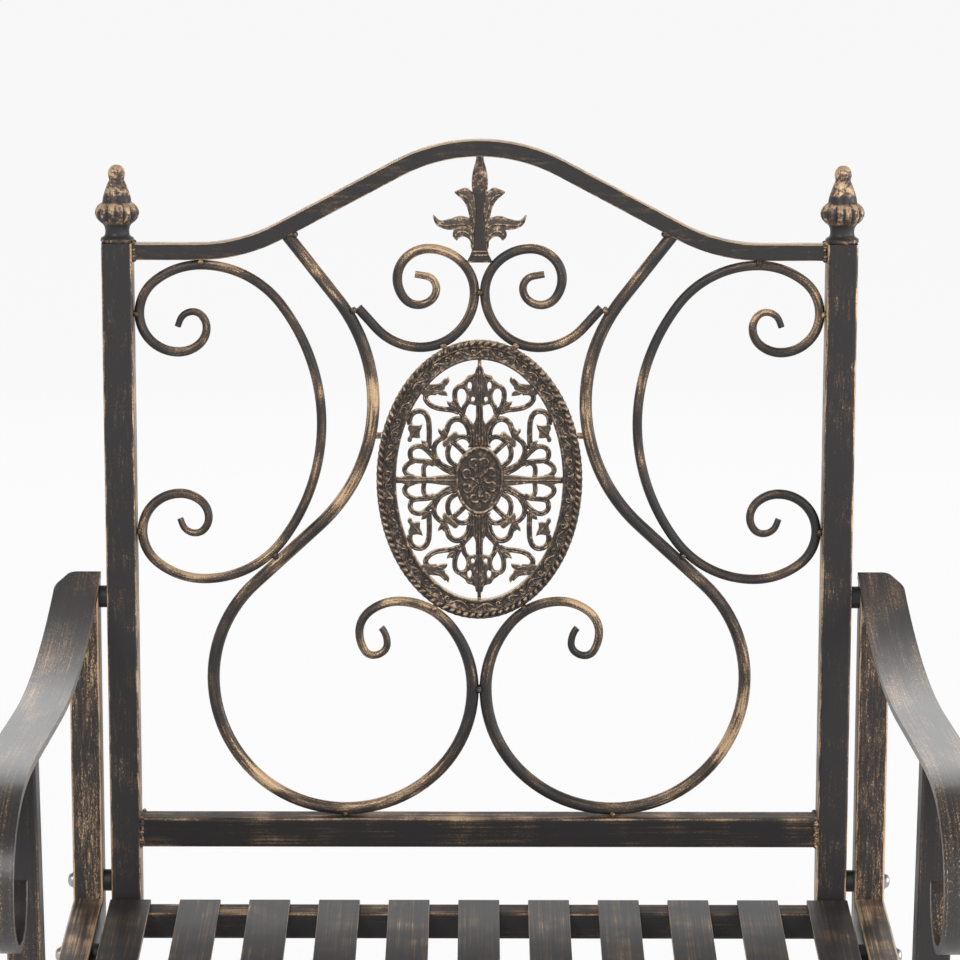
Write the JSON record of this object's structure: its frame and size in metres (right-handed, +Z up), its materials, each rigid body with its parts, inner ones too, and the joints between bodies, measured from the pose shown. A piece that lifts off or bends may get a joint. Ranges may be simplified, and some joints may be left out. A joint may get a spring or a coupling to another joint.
{
  "type": "garden armchair",
  "caption": "Bronzed steel garden armchair with a scrollwork back around a pierced oval medallion, arched top rail, turned finials, strip arms and a slatted seat.",
  "frame": {"origin": "on the floor, under the middle of the chair's box", "axes": "+X to the chair's right side seen from the front, -Y to the front where the sitter's knees are, +Z up"},
  "size_m": [0.616, 0.5834, 0.9908],
  "materials": {
    "bronzed_steel": "near-black paint dry-brushed with bronze along edges, satin",
    "bronzed_casting": "cast relief, near-black paint with bronze on the high places, satin",
    "black_plastic": "plain black, matte",
    "fastener_steel": "zinc-plated steel"
  },
  "bodies": {
    "root": {"arm_left": "bronzed_steel", "arm_right": "bronzed_steel", "back_bolts": "fastener_steel", "back_nuts": "fastener_steel", "back_post_left": "bronzed_steel", "back_post_right": "bronzed_steel", "back_spacers": "black_plastic", "back_washers": "fastener_steel", "bottom_rail": "bronzed_steel", "finial_left": "bronzed_casting", "finial_right": "bronzed_casting", "fleur_de_lis": "bronzed_casting", "front_foot_plug_left": "black_plastic", "front_foot_plug_right": "black_plastic", "front_leg_left": "bronzed_steel", "front_leg_right": "bronzed_steel", "inner_scroll_left": "bronzed_steel", "inner_scroll_right": "bronzed_steel", "lyre_rod_left": "bronzed_steel", "lyre_rod_right": "bronzed_steel", "medallion": "bronzed_casting", "medallion_pins": "bronzed_steel", "outer_scroll_left": "bronzed_steel", "outer_scroll_right": "bronzed_steel", "post_plug_left": "black_plastic", "post_plug_right": "black_plastic", "rear_foot_plug_left": "black_plastic", "rear_foot_plug_right": "black_plastic", "rear_leg_left": "bronzed_steel", "rear_leg_right": "bronzed_steel", "seat_bolts": "fastener_steel", "seat_cross_bar": "bronzed_steel", "seat_front_rail": "bronzed_steel", "seat_nuts": "fastener_steel", "seat_rear_rail": "bronzed_steel", "seat_side_rail_left": "bronzed_steel", "seat_side_rail_right": "bronzed_steel", "seat_slat_1": "bronzed_steel", "seat_slat_10": "bronzed_steel", "seat_slat_11": "bronzed_steel", "seat_slat_2": "bronzed_steel", "seat_slat_3": "bronzed_steel", "seat_slat_4": "bronzed_steel", "seat_slat_5": "bronzed_steel", "seat_slat_6": "bronzed_steel", "seat_slat_7": "bronzed_steel", "seat_slat_8": "bronzed_steel", "seat_slat_9": "bronzed_steel", "seat_spacers": "black_plastic", "seat_washers": "fastener_steel", "side_rail_left": "bronzed_steel", "side_rail_right": "bronzed_steel", "top_rail": "bronzed_steel", "weld_tacks": "bronzed_steel"}
  },
  "joints": []
}
